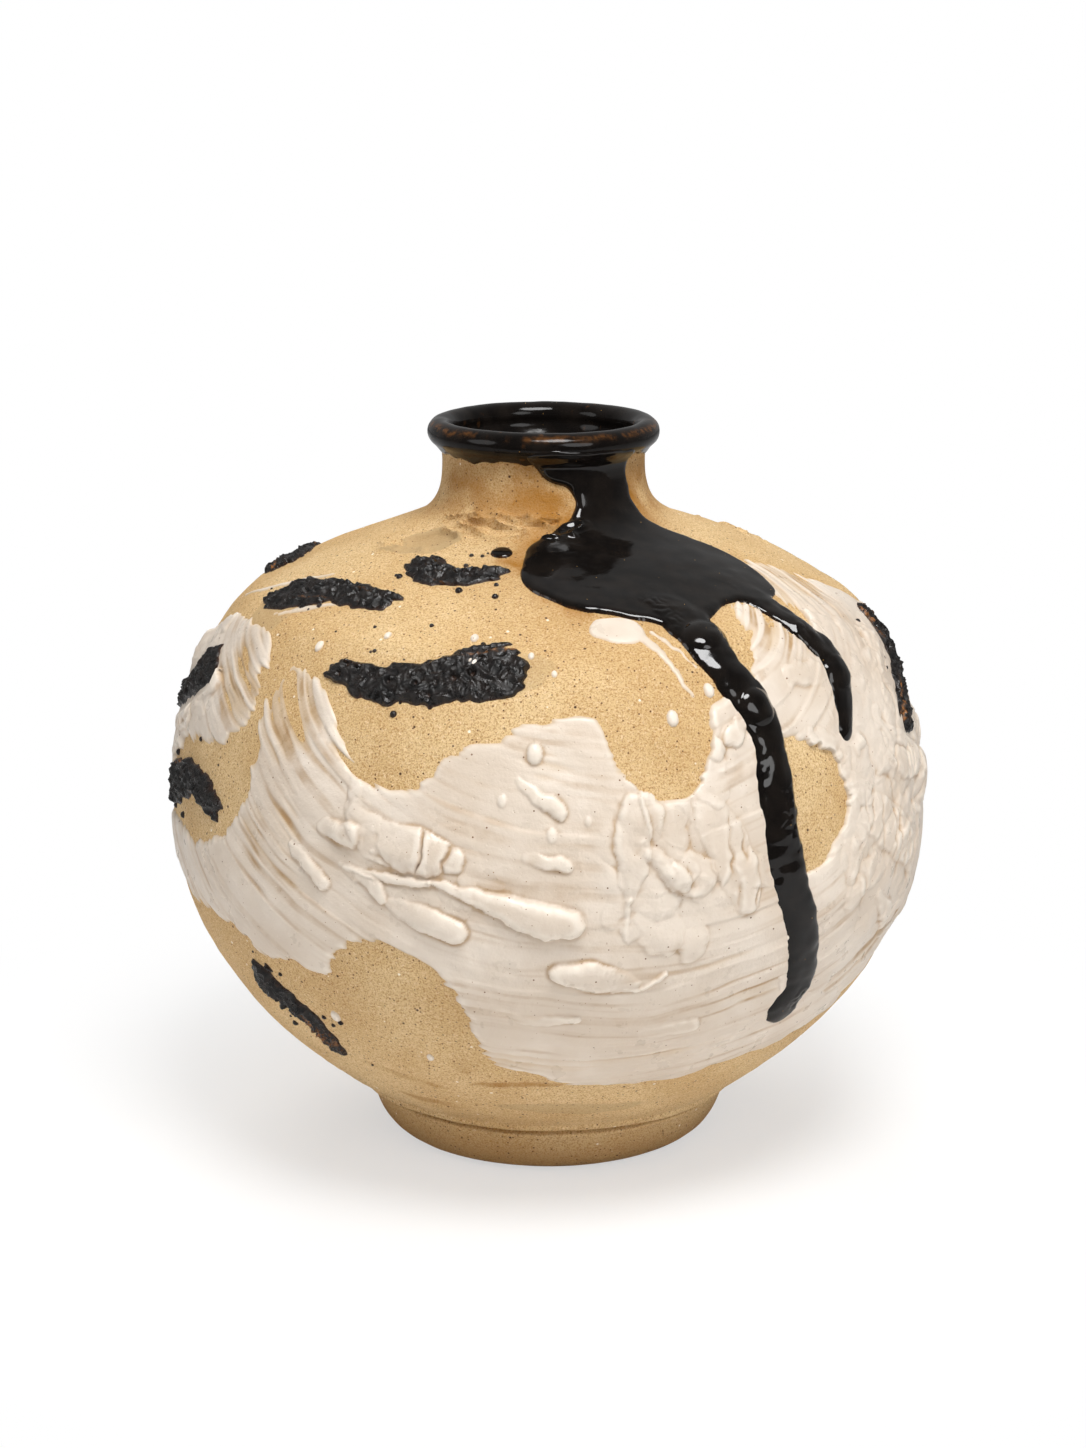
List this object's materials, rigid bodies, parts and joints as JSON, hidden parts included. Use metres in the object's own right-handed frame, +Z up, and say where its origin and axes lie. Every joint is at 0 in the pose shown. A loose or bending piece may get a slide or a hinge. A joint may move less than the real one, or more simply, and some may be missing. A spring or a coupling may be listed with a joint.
{
  "type": "moon jar",
  "caption": "Round-bellied stoneware moon jar on a foot ring, with a short flared neck, black glazed mouth and pour, brushed white slip and rough black daubs.",
  "frame": {"origin": "middle of the foot ring, on the surface that the jar stands on", "axes": "+Z up along the jar's axis, -Y towards the front, where the poured glaze falls to the right of the middle, +X to the right"},
  "size_m": [0.3028, 0.309, 0.2903],
  "materials": {
    "clay": "unglazed buff stoneware, fine grain with dark specks",
    "lute": "unglazed joining slip of the same clay",
    "glaze": "glossy black glaze breaking to rust brown at the edges",
    "slip": "satin brushed white slip with ridges and pinholes",
    "crust": "rough porous black, with small glossy spots"
  },
  "bodies": {
    "root": {"foot_ring": "clay", "foot_lute": "lute", "lower_bowl": "clay", "equator_lute": "lute", "upper_bowl": "clay", "neck_lute": "lute", "neck_collar": "clay", "rim_glaze": "glaze", "glaze_pour": "glaze", "slip_front": "slip", "slip_hem": "slip", "slip_right": "slip", "slip_back_a": "slip", "slip_back_b": "slip", "slip_left": "slip", "slip_dab_1": "slip", "slip_dab_2": "slip", "slip_dab_3": "slip", "slip_dab_4": "slip", "slip_dab_5": "slip", "slip_dab_6": "slip", "slip_dab_7": "slip", "slip_dab_8": "slip", "slip_dab_9": "slip", "slip_dab_10": "slip", "daub_1": "crust", "daub_2": "crust", "daub_3": "crust", "daub_4": "crust", "daub_5": "crust", "daub_6": "crust", "daub_7": "crust", "daub_8": "crust", "daub_9": "crust", "daub_10": "crust"}
  },
  "joints": []
}
